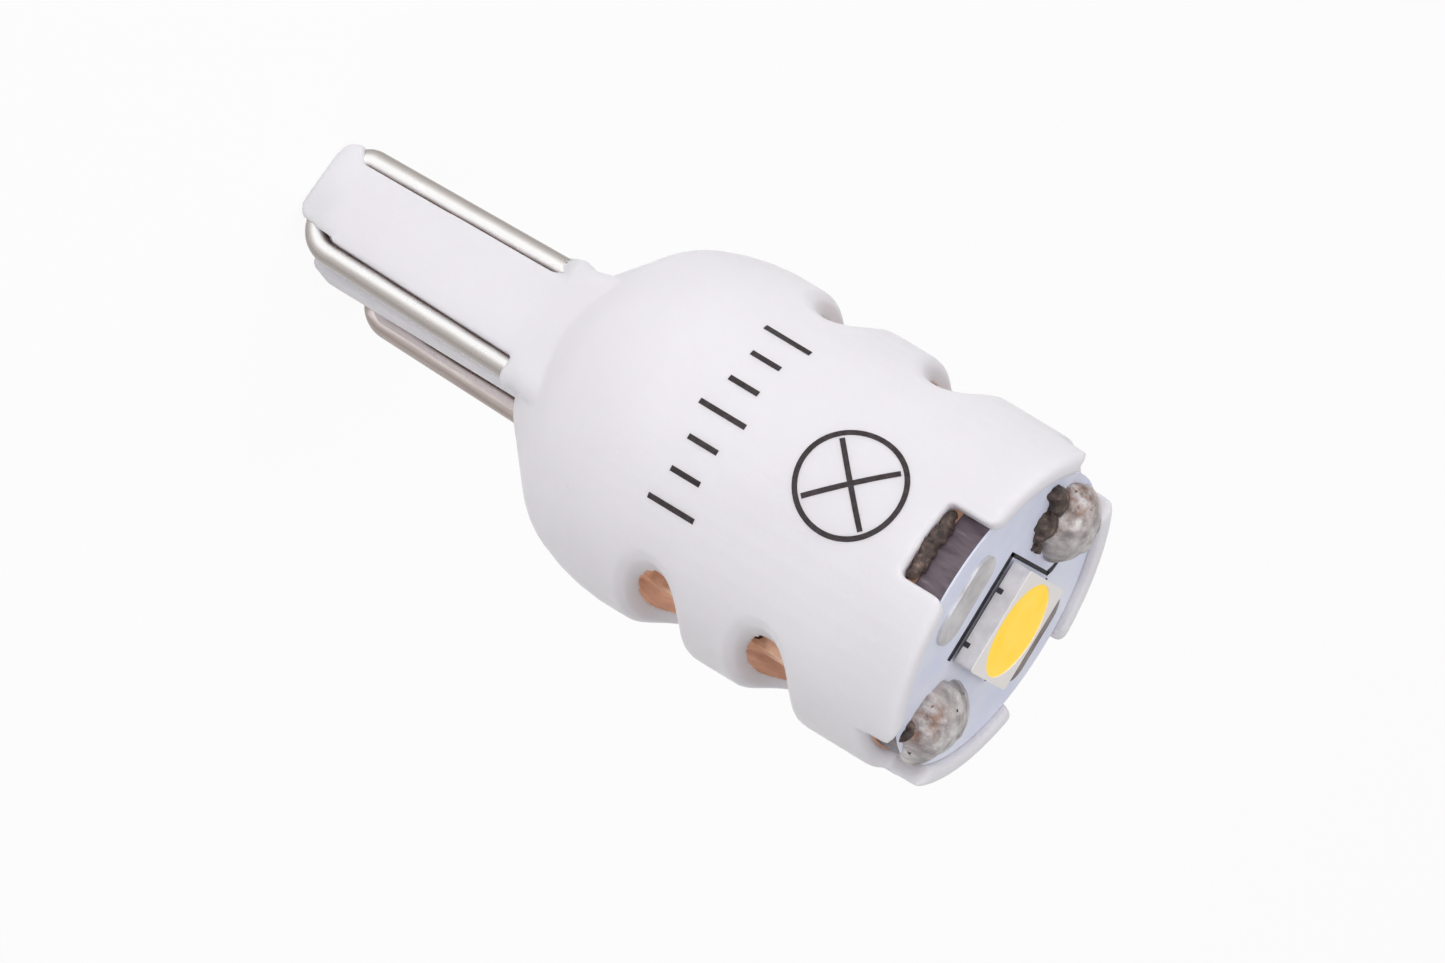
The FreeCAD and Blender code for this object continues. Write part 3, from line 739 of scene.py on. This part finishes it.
# ---- stage
def white_floor(z):
    """Plain level floor: white to the camera, with the object's soft shadow kept."""
    mesh = bpy.data.meshes.new("floor")
    r = FLOOR_HALF
    mesh.from_pydata([(-r, -r, z), (r, -r, z), (r, r, z), (-r, r, z)], [], [(0, 1, 2, 3)])
    floor = bpy.data.objects.new("floor", mesh)
    bpy.context.scene.collection.objects.link(floor)
    f = Finish("floor_white")
    f.set(base_color=(0.9, 0.9, 0.9, 1), roughness=0.9, specular_ior_level=0.0)
    rays = f.add("ShaderNodeLightPath").outputs
    seen = f.math("MAXIMUM", rays["Is Camera Ray"], rays["Is Glossy Ray"])
    seen = f.math("MAXIMUM", seen, rays["Is Transmission Ray"])
    share = f.math("MULTIPLY", seen, FLOOR_SHARE)
    glow = f.add("ShaderNodeEmission", {"Strength": 1.0}).outputs[0]
    both = f.add("ShaderNodeMixShader", {0: share, 1: f.shader.outputs[0], 2: glow})
    f.give(f.tree.nodes["Material Output"].inputs["Surface"], both.outputs[0])
    mesh.materials.append(f.material)


def soft_world(level):
    """Even white light from all round."""
    world = bpy.data.worlds.new("soft_white")
    bpy.context.scene.world = world
    world.use_nodes = True
    light = world.node_tree.nodes["Background"].inputs
    light["Color"].default_value = (1, 1, 1, 1)
    light["Strength"].default_value = level


def softbox(name, at, size, watts):
    """Square area light that faces the bulb."""
    data = bpy.data.lights.new(name, "AREA")
    data.size = size * MM
    data.energy = watts
    light = bpy.data.objects.new(name, data)
    light.location = Vector(at) * MM
    light.rotation_euler = (Vector(LAMP_AIM) - Vector(at)).to_track_quat("-Z", "Y").to_euler()
    bpy.context.scene.collection.objects.link(light)


def photo_camera():
    """Camera at the photograph's place, turned until the frame's middle is on its axis."""
    spin, tilt, roll = (math.radians(a) for a in (VIEW_SPIN, VIEW_TILT, VIEW_ROLL))
    toward = Vector((math.cos(tilt) * math.cos(spin), math.cos(tilt) * math.sin(spin),
                     math.sin(tilt)))
    axis = (Vector((0, 0, 1)) - toward * toward.z).normalized()
    across = axis.cross(toward)
    right = axis * math.cos(roll) - across * math.sin(roll)
    down = axis * math.sin(roll) + across * math.cos(roll)
    ahead = (right * (FRAME_PX[0] / 2 - RIM_AT[0]) + down * (FRAME_PX[1] / 2 - RIM_AT[1])
             - toward * FOCAL_PX).normalized()
    right = (right - ahead * right.dot(ahead)).normalized()
    up = right.cross(ahead)
    data = bpy.data.cameras.new("photo_camera")
    data.sensor_width = SENSOR
    data.lens = FOCAL_PX / FRAME_PX[0] * SENSOR
    data.clip_start = MM
    camera = bpy.data.objects.new("photo_camera", data)
    turn = Matrix((right, up, -ahead)).transposed().to_4x4()
    place = Vector((0, 0, RIM_Z)) + toward * VIEW_DISTANCE
    camera.matrix_world = Matrix.Translation(place * MM) @ turn
    bpy.context.scene.collection.objects.link(camera)
    bpy.context.scene.camera = camera


white_floor(cad_box[0][2])
soft_world(WORLD_LEVEL)
for name, (at, size, watts) in LAMPS.items():
    softbox(name, at, size, watts)
photo_camera()
bpy.context.scene.view_settings.view_transform = "Standard"
